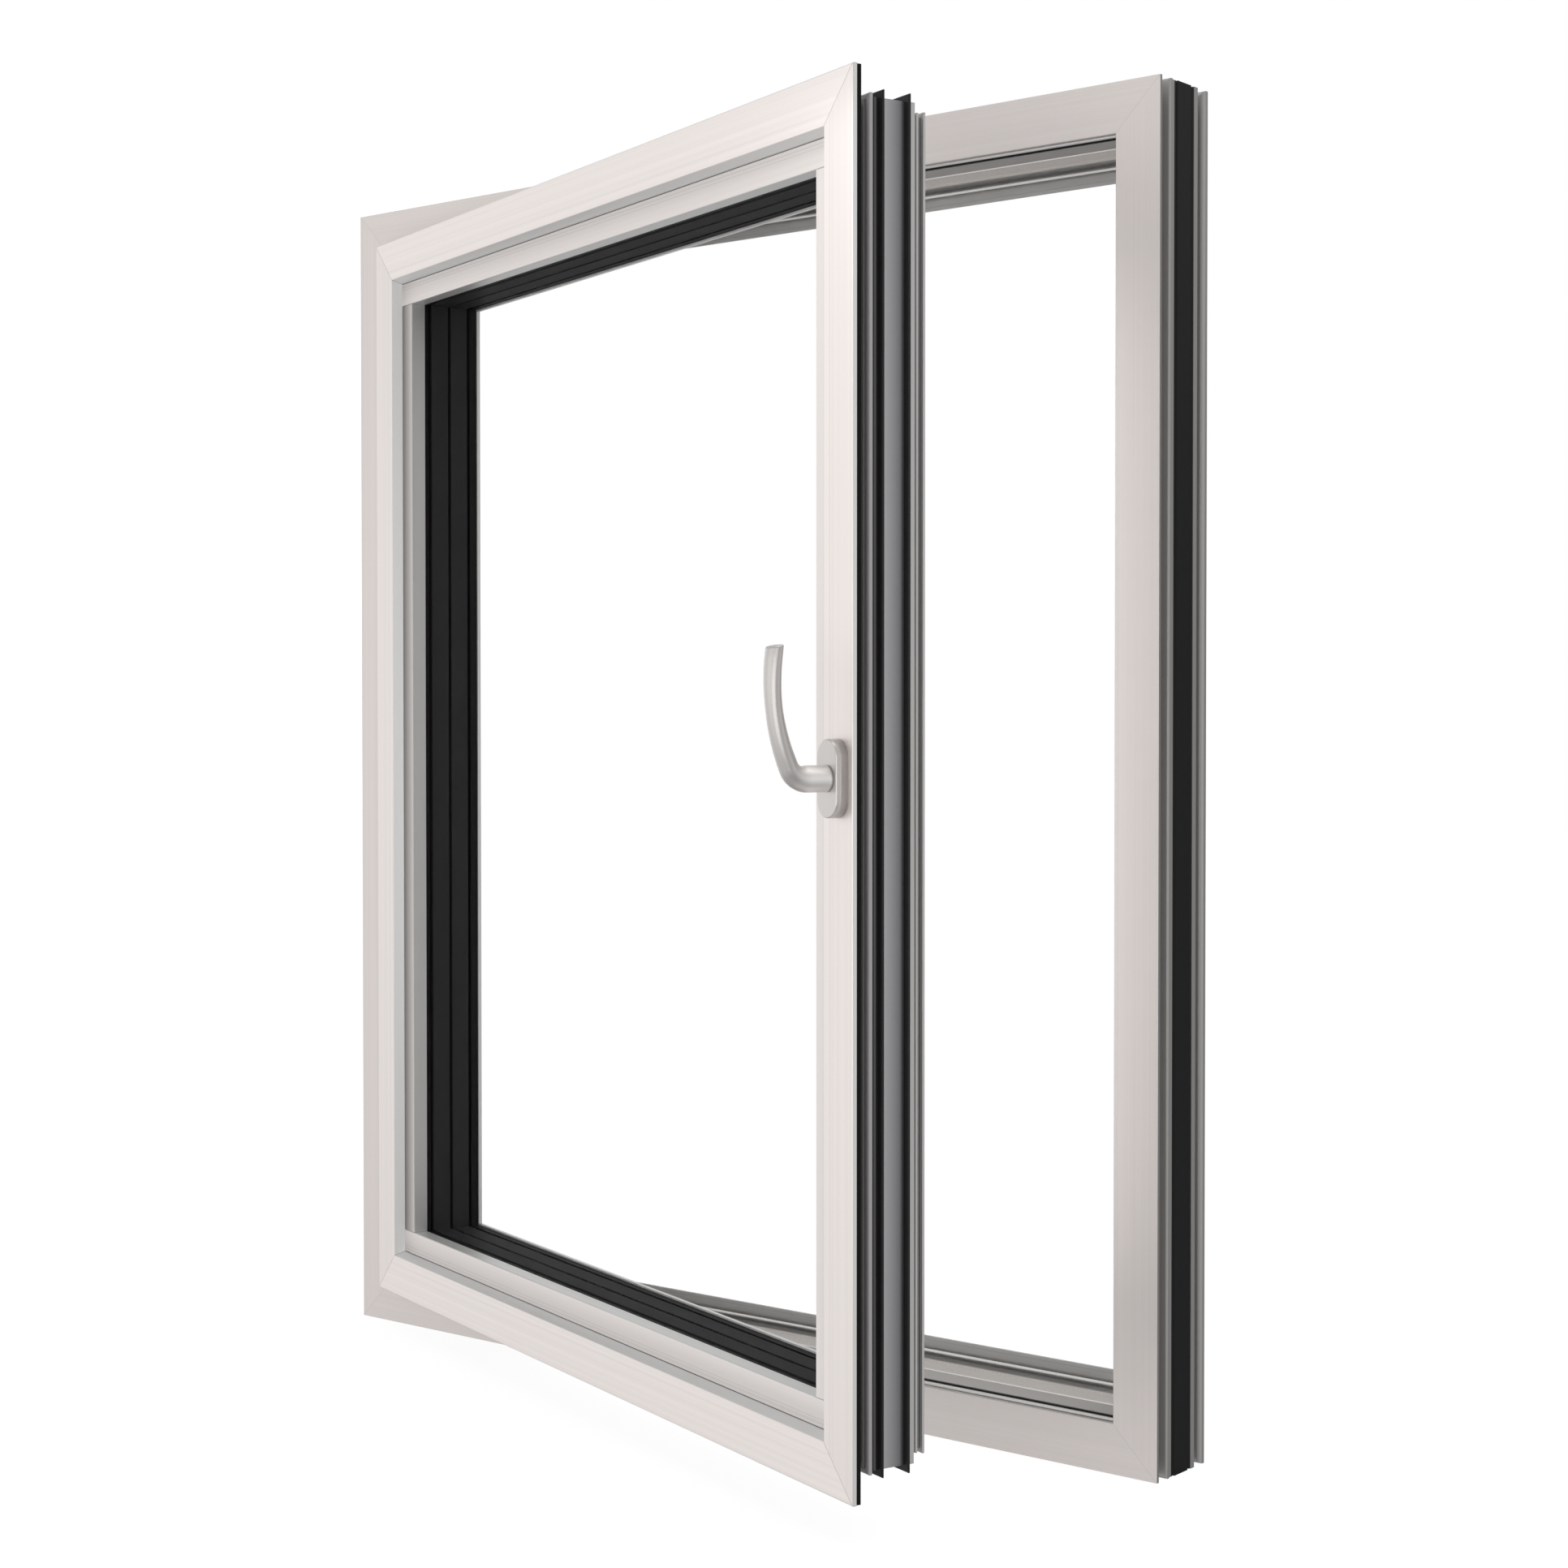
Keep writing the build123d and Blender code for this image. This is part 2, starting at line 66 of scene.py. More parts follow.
# %% Hinge, opening angle and the two rectangles
swing = next(joint for joint in frame["joints"] if joint["name"] == "leaf_swing")
hinge = Vector(swing["pos_m"])
open_angle = -math.radians(swing["range_deg"][0])
open_turn = Matrix.Translation(hinge) @ Matrix.Rotation(-open_angle, 4, "Z") @ Matrix.Translation(-hinge)

frame_low, frame_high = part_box("frame_inner_head")
frame_half_width = (frame_high[0] - frame_low[0]) / 2
frame_height = frame_high[2]
mid_height = frame_height / 2
leaf_margin = 0.042          # from the frame's outer edge to the leaf's edge
leaf_stand_off = 0.0108      # leaf face in front of the frame face when shut
room_face = frame_low[1]
leaf_face = room_face - leaf_stand_off
leaf_half_width = frame_half_width - leaf_margin
leaf_half_height = mid_height - leaf_margin
print("open by", round(math.degrees(open_angle), 2), "degrees")
print("leaf:", round(2 * leaf_half_width, 4), "x", round(2 * leaf_half_height, 4), "m")

# %% [markdown]
# ## The camera
# The picture was taken from the right of the window, a little above its middle, with a longish
# lens. Azimuth and elevation turn the camera; the small shifts put the picture's centre where
# the photographer cropped it.

# %% Camera
camera_data = bpy.data.cameras.new("camera")
camera_data.sensor_width = 36.0
camera_data.lens = 59.33
camera_data.shift_x = -0.01418
camera_data.shift_y = -0.01118
camera_data.clip_end = 60.0
camera = bpy.data.objects.new("camera", camera_data)
camera.location = (1.8433, -2.1887, 0.7356)
camera.rotation_euler = (math.radians(90 - 1.053), 0.0, math.radians(38.576))
bpy.context.scene.collection.objects.link(camera)
bpy.context.scene.camera = camera
print("camera at", tuple(round(value, 3) for value in camera.location))

# %% [markdown]
# ## Small helpers for shader nodes
# A material is a graph of nodes. These helpers keep the graphs short: `feed` sets a socket to a
# number or links it to another node, `put` adds a node with its settings, `calc` adds one step of
# arithmetic, `blend_colours` mixes two colours, `new_group` opens a reusable group with named
# inputs and outputs, and `use_group` places it.

# %% Node helpers
def feed(tree, socket, value):
    if isinstance(value, bpy.types.NodeSocket):
        tree.links.new(value, socket)
    else:
        socket.default_value = value


def put(tree, kind, settings=None, **values):
    node = tree.nodes.new("ShaderNode" + kind)
    for name, value in (settings or {}).items():
        setattr(node, name, value)
    for name, value in values.items():
        feed(tree, node.inputs[name.replace("_", " ")], value)
    return node


def calc(tree, operation, *values, clamp=False):
    node = put(tree, "Math", {"operation": operation, "use_clamp": clamp})
    for socket, value in zip(node.inputs, values):
        feed(tree, socket, value)
    return node.outputs[0]


def blend_colours(tree, share, first, second, mode="MIX"):
    node = put(tree, "Mix", {"data_type": "RGBA", "blend_type": mode})
    feed(tree, node.inputs[0], share)
    feed(tree, node.inputs[6], first)
    feed(tree, node.inputs[7], second)
    return node.outputs[2]


def new_group(name, inputs, outputs):
    tree = bpy.data.node_groups.new(name, "ShaderNodeTree")
    for label, default in inputs.items():
        socket = tree.interface.new_socket(label, in_out="INPUT", socket_type="NodeSocketFloat")
        socket.default_value = default
    for label in outputs:
        tree.interface.new_socket(label, in_out="OUTPUT", socket_type="NodeSocketFloat")
    return tree, tree.nodes.new("NodeGroupInput").outputs, tree.nodes.new("NodeGroupOutput").inputs


def use_group(tree, group, **values):
    node = put(tree, "Group", {"node_tree": group})
    for name, value in values.items():
        feed(tree, node.inputs[name.replace("_", " ")], value)
    return node.outputs


print("node helpers ready")

# %% [markdown]
# ## Brushed lines
# The visible faces were brushed before they were anodised, always along the bar. Under a lens
# that is a bundle of very long, very fine scratches of uneven depth. Noise stretched along the
# bar gives just that. The group first turns the point back to the shut leaf, then swaps the
# two directions for upright bars, and mixes a fine and a coarse set of lines.

# %% Group: brushed lines
def shut_place(tree, turn):
    """The point on the shut leaf, as separate x, y and z. A turn of 0 leaves it alone."""
    place = put(tree, "TexCoord").outputs["Object"]
    turned = put(tree, "VectorRotate", {"rotation_type": "Z_AXIS"}, Vector=place, Center=hinge, Angle=turn)
    return put(tree, "SeparateXYZ", Vector=turned.outputs[0]).outputs


def swap_directions(tree, upright, x, z):
    level = calc(tree, "SUBTRACT", 1.0, upright)
    along = calc(tree, "ADD", calc(tree, "MULTIPLY", x, level), calc(tree, "MULTIPLY", z, upright))
    across = calc(tree, "SUBTRACT", calc(tree, "ADD", x, z), along)
    return along, across


def stretched_noise(tree, along, across, depth, length, width, detail):
    """Noise with cells of about length by width metres."""
    place = put(
        tree, "CombineXYZ",
        X=calc(tree, "DIVIDE", along, length), Y=calc(tree, "DIVIDE", across, width),
        Z=calc(tree, "DIVIDE", depth, width),
    )
    noise = put(tree, "TexNoise", Vector=place.outputs[0], Scale=1.0, Detail=detail, Roughness=0.6)
    return noise.outputs["Fac"]


brushed, given, result = new_group("brushed_lines", {"Turn": 0.0, "Upright": 0.0}, ["Lines", "Streaks"])
x, y, z = shut_place(brushed, given["Turn"])
along, across = swap_directions(brushed, given["Upright"], x, z)
line_length, line_width = 0.9, 0.0011
streak_length, streak_width = 3.0, 0.006
feed(brushed, result["Lines"], stretched_noise(brushed, along, across, y, line_length, line_width, 3.0))
feed(brushed, result["Streaks"], stretched_noise(brushed, along, across, y, streak_length, streak_width, 3.0))
print("group made:", brushed.name)

# %% [markdown]
# ## Mitre seams
# Four bars meet in each corner along a 45 degree cut, and the cut shows as a hairline. Seen
# straight on, the cut is where the distance to the nearest side equals the distance to the
# nearest end, so one subtraction finds all four seams at once.

# %% Group: mitre seams
def edge_distances(tree, given):
    """How far a point lies inside the nearest side and the nearest end of the rectangle."""
    x, y, z = shut_place(tree, given["Turn"])
    from_middle = calc(tree, "ABSOLUTE", calc(tree, "SUBTRACT", z, mid_height))
    to_side = calc(tree, "SUBTRACT", given["Half Width"], calc(tree, "ABSOLUTE", x))
    return to_side, calc(tree, "SUBTRACT", given["Half Height"], from_middle)


mitre, given, result = new_group(
    "mitre_seams", {"Turn": 0.0, "Half Width": 0.5, "Half Height": 0.6, "Seam Width": 0.0006}, ["Seam"]
)
to_side, to_end = edge_distances(mitre, given)
off_seam = calc(mitre, "ABSOLUTE", calc(mitre, "SUBTRACT", to_side, to_end))
seam = calc(mitre, "SUBTRACT", 1.0, calc(mitre, "DIVIDE", off_seam, given["Seam Width"]), clamp=True)
feed(mitre, result["Seam"], seam)
print("group made:", mitre.name)

# %% [markdown]
# ## Score lines
# Extruded bars carry fine lines at a fixed distance from their edge, and a butt joint is such a
# line too. The group measures how far a point is from the side or from the end of a rectangle
# and marks a narrow band at the wanted inset.

# %% Group: score lines
scored, given, result = new_group(
    "score_lines",
    {"Turn": 0.0, "Half Width": 0.5, "Half Height": 0.6, "Upright": 0.0, "Inset": 0.01, "Line Width": 0.0004},
    ["Score"],
)
to_side, to_end = edge_distances(scored, given)
inset = calc(scored, "MULTIPLY_ADD", given["Upright"], calc(scored, "SUBTRACT", to_side, to_end), to_end)
off_line = calc(scored, "ABSOLUTE", calc(scored, "SUBTRACT", inset, given["Inset"]))
score = calc(scored, "SUBTRACT", 1.0, calc(scored, "DIVIDE", off_line, given["Line Width"]), clamp=True)
feed(scored, result["Score"], score)
print("group made:", scored.name)

# %% [markdown]
# ## Faces and sides
# Only the wide faces towards the room and the outside are brushed and warm. The narrow sides of a
# bar keep the plain, cooler grey of the extrusion, and are also painted darker than they are:
# painted shade for the little light that falls on them. The way a face looks tells them apart:
# turned back to the shut leaf, a side has almost nothing of the direction through the window.

# %% Group: side faces
sides, given, result = new_group("side_faces", {"Turn": 0.0}, ["Side"])
looks = put(sides, "TexCoord").outputs["Normal"]
looks = put(sides, "VectorRotate", {"rotation_type": "Z_AXIS"}, Vector=looks, Angle=given["Turn"])
through_window = put(sides, "SeparateXYZ", Vector=looks.outputs[0]).outputs["Y"]
across_window = calc(sides, "ABSOLUTE", through_window)
side = put(sides, "MapRange", Value=across_window, From_Min=0.85, From_Max=0.55, To_Min=0.0, To_Max=1.0)
feed(sides, result["Side"], side.outputs[0])
print("group made:", sides.name)

# %% [markdown]
# ## Fade with depth
# A strip at the bottom of a channel gets less light the deeper it lies between its walls. The group
# gives 0 at the front depth and 1 at the back depth, measured from the room to the outside.

# %% Group: depth fade
fade, given, result = new_group("depth_fade", {"Turn": 0.0, "Front": 0.0, "Back": 0.1}, ["Fade"])
x, y, z = shut_place(fade, given["Turn"])
ramp = put(fade, "MapRange", Value=y, From_Min=given["Front"], From_Max=given["Back"])
feed(fade, result["Fade"], ramp.outputs[0])
print("group made:", fade.name)

# %% [markdown]
# ## Fine speckle
# Anodised, moulded and rubber surfaces all break the light a little. A small even noise, used at
# different sizes, keeps every surface from looking like flat paint.

# %% Group: speckle
speckle, given, result = new_group("speckle", {"Size": 0.001}, ["Speckle"])
place = put(speckle, "TexCoord").outputs["Object"]
noise = put(speckle, "TexNoise", Vector=place, Scale=calc(speckle, "DIVIDE", 1.0, given["Size"]), Detail=2.0)
feed(speckle, result["Speckle"], noise.outputs["Fac"])
print("group made:", speckle.name)

# %% [markdown]
# ## Finishes
# Each finish is one Principled BSDF. Only what changes over the surface is linked; a number that
# is the same everywhere is set on the shader itself.

# %% Start a material
def start_material(name, roughness, metallic, gloss=0.5):
    material = bpy.data.materials.new(name)
    material.use_nodes = True
    tree = material.node_tree
    shader = next(node for node in tree.nodes if node.type == "BSDF_PRINCIPLED")
    shader.inputs["Roughness"].default_value = roughness
    shader.inputs["Metallic"].default_value = metallic
    shader.inputs["Specular IOR Level"].default_value = gloss
    return material, tree, shader


def shade(colour, factor):
    return (colour[0] * factor, colour[1] * factor, colour[2] * factor, 1.0)


def spread(tree, value, low, high):
    """Move noise, which stays around one half, to a range."""
    node = put(tree, "MapRange", Value=value, From_Min=0.3, From_Max=0.7, To_Min=low, To_Max=high)
    return node.outputs[0]


def bump(tree, shader, height, strength, distance):
    node = put(tree, "Bump", Height=height, Strength=strength, Distance=distance)
    feed(tree, shader.inputs["Normal"], node.outputs[0])


print("finish helpers ready")

# %% [markdown]
# ### Brushed aluminium
# The anodised layer is warm and almost white, with a soft metallic sheen. Lines darken and lift
# it by a few percent. Sides are a cooler grey, partly their own tone and partly painted shade. The
# places behind the flange are painted a darker grey, with darker bands in the roots of their lips
# and grooves: painted shade. The mitre seams are darkened like a tight joint, less on the frame
# than on the leaf. The beads get a wide band of painted shade beside the leaf's return, strongest
# on the hinge side, which lies in the shade of the return.

# %% Finish: brushed aluminium
FLANGE_DEPTH, DEEP_FADE = 0.0125, 0.0015


def brushed_aluminium(name, colours, turned, upright, scores=(), shades=(), seam=0.6):
    """Colours are those of the faces, the sides, partly painted shade, and the painted shade of the
    deep places behind the flange. Scores are (inset, width, darkness, upright) of the fine lines on
    the bar, in metres, and on the beads also of a wide painted shade; shades are the same for the
    painted shade in the roots of lips and grooves in the deep places."""
    colour, side_colour, recess_shade_colour = colours
    material, tree, shader = start_material(name, 0.45, 0.6)
    turn = open_angle if turned else 0.0
    half_width = leaf_half_width if turned else frame_half_width
    half_height = leaf_half_height if turned else mid_height
    flange_back = (leaf_face if turned else room_face) + FLANGE_DEPTH
    lines = use_group(tree, brushed, Turn=turn, Upright=1.0 if upright else 0.0)
    seams = use_group(tree, mitre, Turn=turn, Half_Width=half_width, Half_Height=half_height)
    grains = use_group(tree, speckle, Size=0.0009)
    grain = calc(tree, "MULTIPLY_ADD", lines["Streaks"], 0.45, calc(tree, "MULTIPLY", lines["Lines"], 0.35))
    grain = calc(tree, "MULTIPLY_ADD", grains["Speckle"], 0.2, grain)
    lift = spread(tree, grain, 0.0, 1.0)
    # Painted shade: behind the flange the colour fades to the darker recess colour.
    deep = use_group(tree, fade, Turn=turn, Front=flange_back, Back=flange_back + DEEP_FADE)["Fade"]
    # Sides take their own grey: partly their tone, partly painted shade.
    base = blend_colours(
        tree, use_group(tree, sides, Turn=turn)["Side"],
        blend_colours(tree, lift, shade(colour, 0.93), shade(colour, 1.05)), shade(side_colour, 1.0),
    )
    base = blend_colours(tree, deep, base, shade(recess_shade_colour, 1.0))
    clean = calc(tree, "SUBTRACT", 1.0, calc(tree, "MULTIPLY", seams["Seam"], seam))
    # The second list adds bands of painted shade in the deep places.
    for share, lines_there in ((1.0, scores), (deep, shades)):
        for inset, width, darkness, along_side in lines_there:
            score = use_group(
                tree, scored, Turn=turn, Half_Width=half_width, Half_Height=half_height,
                Upright=along_side, Inset=inset, Line_Width=width,
            )
            dark = calc(tree, "MULTIPLY", score["Score"], share)
            clean = calc(tree, "MULTIPLY", clean, calc(tree, "MULTIPLY_ADD", dark, -darkness, 1.0))
    feed(tree, shader.inputs["Base Color"], blend_colours(tree, clean, shade(colour, 0.15), base))
    feed(tree, shader.inputs["Roughness"], spread(tree, lines["Lines"], 0.4, 0.5))
    bump(tree, shader, grain, 0.12, 0.0004)
    return material


# Each set holds the colour of the faces, of the sides, partly painted shade, and of the deep places, which is
# painted shade.
frame_colours = (0.765, 0.712, 0.69), (0.43, 0.425, 0.42), (0.52, 0.51, 0.50)
# The level leaf bars are painted lighter than the upright ones: painted light on the rails.
leaf_colours = {
    "level": ((0.98, 0.918, 0.89), (0.90, 0.895, 0.885), (0.55, 0.55, 0.55)),
    "upright": ((0.93, 0.871, 0.845), (0.90, 0.895, 0.885), (0.55, 0.55, 0.55)),
}
outer_colours = (0.82, 0.78, 0.76), (0.68, 0.675, 0.665), (0.68, 0.675, 0.665)
bead_colours = (0.88, 0.83, 0.805), (0.74, 0.735, 0.725), (0.74, 0.735, 0.725)
finishes = {}
# Each bar's second list is painted shade in the roots of lips and grooves behind the flange.
for direction, upright in (("level", 0.0), ("upright", 1.0)):
    finishes["frame_" + direction] = brushed_aluminium(
        "frame_aluminium_" + direction, frame_colours, False, upright, [(0.0728, 0.0005, 0.3, upright)],
        [(0.0400, 0.0070, 0.9, upright), (0.0602, 0.0040, 0.85, upright)], 0.25,
    )
    finishes["leaf_" + direction] = brushed_aluminium(
        "leaf_aluminium_" + direction, leaf_colours[direction], True, upright,
        [(0.0367, 0.0005, 0.16, upright), (0.0382, 0.0004, 0.1, upright)],
        [(0.0260, 0.0060, 0.8, upright)], 0.75,
    )
    finishes["outer_" + direction] = brushed_aluminium(
        "leaf_outer_aluminium_" + direction, outer_colours, True, upright,
        (), [(0.0357, 0.0070, 0.8, upright)],
    )
bead_lines = [(0.0561, 0.0012, 0.16), (0.0595, 0.0006, 0.22)]
# Each bead gets a wide band of painted shade beside the leaf's return: dark on the hinge side, lighter on the
# level beads and faint on the lock side.
bead_shades = {
    "level": (0.0, (0.0520, 0.0250, 0.25)),
    "hinge": (1.0, (0.0520, 0.0350, 0.85)),
    "lock": (1.0, (0.0520, 0.0250, 0.05)),
}
for bead, (upright, soft_shade) in bead_shades.items():
    bead_scores = [(*line, upright) for line in bead_lines + [soft_shade]]
    butt_joint = (0.0783, 0.0006, 0.7 * upright, 0.0)
    finishes["bead_" + bead] = brushed_aluminium(
        "bead_aluminium_" + bead, bead_colours, True, upright, bead_scores + [butt_joint], (), 0.0,
    )
print("aluminium finishes:", sorted(finishes))

# %% [markdown]
# ### Insulating bars, rubber and spacers
# The insulating bars are black polyamide, drawn through a die, so they keep faint lines along
# their length and a dull gloss. Rubber is blacker and duller. The spacers between the panes are
# a dark foil on plastic, almost without gloss.

# %% Finishes: the black materials
def blend_greys(tree, mask, low, high):
    return blend_colours(tree, spread(tree, mask, 0.0, 1.0), shade((1, 1, 1), low), shade((1, 1, 1), high))


def black_bar(name, turned, low, high):
    material, tree, shader = start_material(name, 0.42, 0.0, 0.25)
    turn = open_angle if turned else 0.0
    lines = use_group(tree, brushed, Turn=turn, Upright=0.5)
    grains = use_group(tree, speckle, Size=0.0012)
    half_speckle = calc(tree, "MULTIPLY", grains["Speckle"], 0.5)
    mixed = calc(tree, "ADD", calc(tree, "MULTIPLY", lines["Streaks"], 0.5), half_speckle)
    feed(tree, shader.inputs["Base Color"], blend_greys(tree, mixed, low, high))
    feed(tree, shader.inputs["Roughness"], spread(tree, grains["Speckle"], 0.36, 0.5))
    bump(tree, shader, mixed, 0.08, 0.0003)
    return material


def soft_rubber(name, low, high, roughness, gloss):
    material, tree, shader = start_material(name, roughness, 0.0, gloss)
    grains = use_group(tree, speckle, Size=0.0008)
    feed(tree, shader.inputs["Base Color"], blend_greys(tree, grains["Speckle"], low, high))
    uneven = spread(tree, grains["Speckle"], roughness - 0.08, roughness + 0.08)
    feed(tree, shader.inputs["Roughness"], uneven)
    bump(tree, shader, grains["Speckle"], 0.15, 0.0002)
    return material


finishes["frame_bar"] = black_bar("frame_insulating_bar", False, 0.011, 0.017)
finishes["leaf_bar"] = black_bar("leaf_insulating_bar", True, 0.022, 0.032)
finishes["rubber"] = soft_rubber("black_rubber", 0.008, 0.013, 0.6, 0.1)
finishes["spacer"] = soft_rubber("dark_spacer_foil", 0.024, 0.036, 0.6, 0.03)
print("black finishes made")

# %% [markdown]
# ### Glass
# Clear glass is only seen by what it mirrors. The three panes are almost free of reflection here,
# as coated glass in soft light is. Shadow rays pass straight through, so that the panes do not
# darken the bars behind them.

# %% Finish: clear glass
def clear_glass(name):
    material, tree, shader = start_material(name, 0.0, 0.0)
    shader.inputs["Base Color"].default_value = (1.0, 1.0, 1.0, 1.0)
    shader.inputs["Transmission Weight"].default_value = 1.0
    shader.inputs["IOR"].default_value = 1.01
    grains = use_group(tree, speckle, Size=0.4)
    feed(tree, shader.inputs["Roughness"], spread(tree, grains["Speckle"], 0.0, 0.004))
    clear = put(tree, "BsdfTransparent")
    shadow = put(tree, "LightPath").outputs["Is Shadow Ray"]
    mix = put(tree, "MixShader")
    feed(tree, mix.inputs[0], shadow)
    feed(tree, mix.inputs[1], shader.outputs[0])
    feed(tree, mix.inputs[2], clear.outputs[0])
    output = next(node for node in tree.nodes if node.type == "OUTPUT_MATERIAL")
    feed(tree, output.inputs["Surface"], mix.outputs[0])
    return material


finishes["glass"] = clear_glass("clear_glass")
print("glass made")

# %% [markdown]
# ### Satin handle and steel hinges
# The lever and its rosette are cast, ground and anodised: a finer, more metallic satin than the
# bars. The lever's neck is painted much lighter than its grip: a painted highlight. The grip is
# painted darker than the rosette: painted shade. The hinges are zinc plated steel, darker and
# spotted.

# %% Finishes: handle and hinge
def satin_metal(name, colour, roughness, metallic, size, contrast, neck=None):
    """A neck colour is a painted highlight on the part of the lever next to the leaf."""
    material, tree, shader = start_material(name, roughness, metallic)
    grains = use_group(tree, speckle, Size=size)
    base = shade(colour, 1.0)
    if neck:
        neck_start, neck_whole = leaf_face - 0.050, leaf_face - 0.034
        neck_highlight_share = use_group(tree, fade, Turn=open_angle, Front=neck_start, Back=neck_whole)["Fade"]
        base = blend_colours(tree, neck_highlight_share, base, shade(neck, 1.0))
    grain = spread(tree, grains["Speckle"], 1 - contrast, 1 + contrast)
    lifted = put(tree, "VectorMath", {"operation": "SCALE"}, Scale=grain)
    feed(tree, lifted.inputs[0], base if neck else colour)
    feed(tree, shader.inputs["Base Color"], lifted.outputs[0])
    uneven = spread(tree, grains["Speckle"], roughness - 0.04, roughness + 0.05)
    feed(tree, shader.inputs["Roughness"], uneven)
    bump(tree, shader, grains["Speckle"], 0.05, 0.0002)
    return material


finishes["handle"] = satin_metal("satin_handle", (0.69, 0.662, 0.645), 0.33, 0.6, 0.0006, 0.04)
# The lever's darker grip is painted shade, and its almost white neck a painted highlight.
finishes["lever"] = satin_metal(
    "satin_lever", (0.60, 0.575, 0.56), 0.33, 0.6, 0.0006, 0.04, neck=(0.98, 0.945, 0.925)
)
finishes["hinge"] = satin_metal("zinc_plated_steel", (0.45, 0.45, 0.46), 0.35, 0.9, 0.002, 0.10)
print("handle and hinge finishes made")

# %% [markdown]
# ### Foil, linings and bright edges
# The thin trim is plain metal; its colours carry painted light and shade. The foil lies at the
# bottom of a channel, where less light comes in, so it is painted from bright at the front to dark
# at the back: painted shade. The linings are painted in the greys of shaded aluminium, and the
# dark edge strip is painted shade for the fin's shadow beside it. The bright edges are near-white
# strips on the rounded lips: painted highlights.

# %% Finishes: foil and linings
def channel_foil(name, front, back, bright, dark):
    """Silver foil with painted shade, darker from the front of its channel to the back, depths from the
    leaf's face.
    """
    material, tree, shader = start_material(name, 0.34, 0.8)
    grains = use_group(tree, speckle, Size=0.003)
    deep = use_group(tree, fade, Turn=open_angle, Front=leaf_face + front, Back=leaf_face + back)["Fade"]
    feed(tree, shader.inputs["Base Color"], blend_colours(tree, deep, shade(bright, 1.0), shade(dark, 1.0)))
    feed(tree, shader.inputs["Roughness"], spread(tree, grains["Speckle"], 0.30, 0.38))
    return material


finishes["foil"] = channel_foil("thin_silver_foil", 0.046, 0.070, (0.53, 0.53, 0.54), (0.16, 0.16, 0.17))
# Both linings are painted in the greys of aluminium in the shade of the rebate: painted shade, the flat strip
# darker than the slope.
finishes["lining"] = satin_metal("grey_lining", (0.45, 0.43, 0.42), 0.45, 0.3, 0.002, 0.04)
finishes["ramp"] = satin_metal("warm_grey_lining", (0.68, 0.64, 0.61), 0.45, 0.3, 0.002, 0.04)
# A dark strip: painted shade for the fin's shadow on the step beside the channel.
finishes["strip"] = satin_metal("painted_shade_edge_strip", (0.16, 0.155, 0.15), 0.50, 0.2, 0.002, 0.04)
# Near-white satin for painted highlights on rounded lips.
finishes["bright"] = satin_metal("painted_highlight_edge", (0.95, 0.93, 0.91), 0.32, 0.6, 0.002, 0.03)
print("trim finishes made")

# %% [markdown]
# ## Dress the solids
# Every node takes the finish of the bar or plate that it is. The names say which is which: level
# bars are the sill, head and rails, and the others stand upright.

# %% Give each node its finish
def finish_of(name):
    level = name.endswith(("sill", "head", "rail"))
    direction = "level" if level else "upright"
    if name.startswith(("frame_inner", "frame_outer")):
        return "frame_" + direction
    if name.startswith("leaf_inner"):
        return "leaf_" + direction
    if name.startswith("leaf_outer"):
        return "outer_" + direction
    if name.startswith("glazing_bead"):
        return "bead_level" if level else "bead_lock" if "lock" in name else "bead_hinge"
    if name.startswith("frame_break"):
        return "frame_bar"
    if name.startswith("leaf_break"):
        return "leaf_bar"
    if name.endswith("_pane"):
        return "glass"
    if name.endswith("_spacer"):
        return "spacer"
    if "hinge_" in name:
        return "hinge"
    if name in ("rosette", "lever_handle"):
        return "handle"
    return "rubber"


for name, node in nodes.items():
    node.data.materials.clear()
    node.data.materials.append(finishes[finish_of(name)])
print("dressed nodes:", len(nodes))

# %% [markdown]
# ## Bars that run round a rectangle
# Thin trim follows the frame or the leaf all the way round and is mitred in the corners, just as
# the solids are. A section of (inset, depth) points is set up at each corner of the rectangle and
# joined to the next corner. Trim on the leaf is laid out shut, and then turned with the hinge.

# %% Helper: one closed section, swept round a rectangle
MM = 0.001


def finish_piece(name, shape, body, materials):
    bmesh.ops.recalc_face_normals(shape, faces=shape.faces)
    mesh = bpy.data.meshes.new(name)
    shape.to_mesh(mesh)
    shape.free()
    for material in materials:
        mesh.materials.append(finishes[material])
    piece = bpy.data.objects.new(name, mesh)
    bpy.context.scene.collection.objects.link(piece)
    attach(piece, body)
    return piece


def bars_round(name, section, body, materials):
    """Sweep a section of (inset, depth) in mm round the frame or the leaf."""
    on_leaf = body == "leaf"
    half_width = leaf_half_width if on_leaf else frame_half_width
    half_height = leaf_half_height if on_leaf else mid_height
    face = leaf_face if on_leaf else room_face
    shape = bmesh.new()
    corners = []
    for side, end in ((-1, -1), (1, -1), (1, 1), (-1, 1)):
        corners.append([
            shape.verts.new((
                side * (half_width - inset * MM), face + depth * MM,
                mid_height + end * (half_height - inset * MM),
            ))
            for inset, depth in section
        ])
    for number, here in enumerate(corners):
        there = corners[(number + 1) % 4]
        for first in range(len(section)):
            last = (first + 1) % len(section)
            quad = shape.faces.new((here[first], here[last], there[last], there[first]))
            quad.material_index = number % 2 if len(materials) > 1 else 0
    if on_leaf:
        bmesh.ops.transform(shape, matrix=open_turn, verts=shape.verts)
    return finish_piece(name, shape, body, materials)


print("trim helper ready")

# %% [markdown]
# ## Foil in the leaf's channel
# Between the two black fins on the leaf's edge lies a strip of silver foil that throws heat back.
# It is a quarter of a millimetre thick, so the solids leave it out.

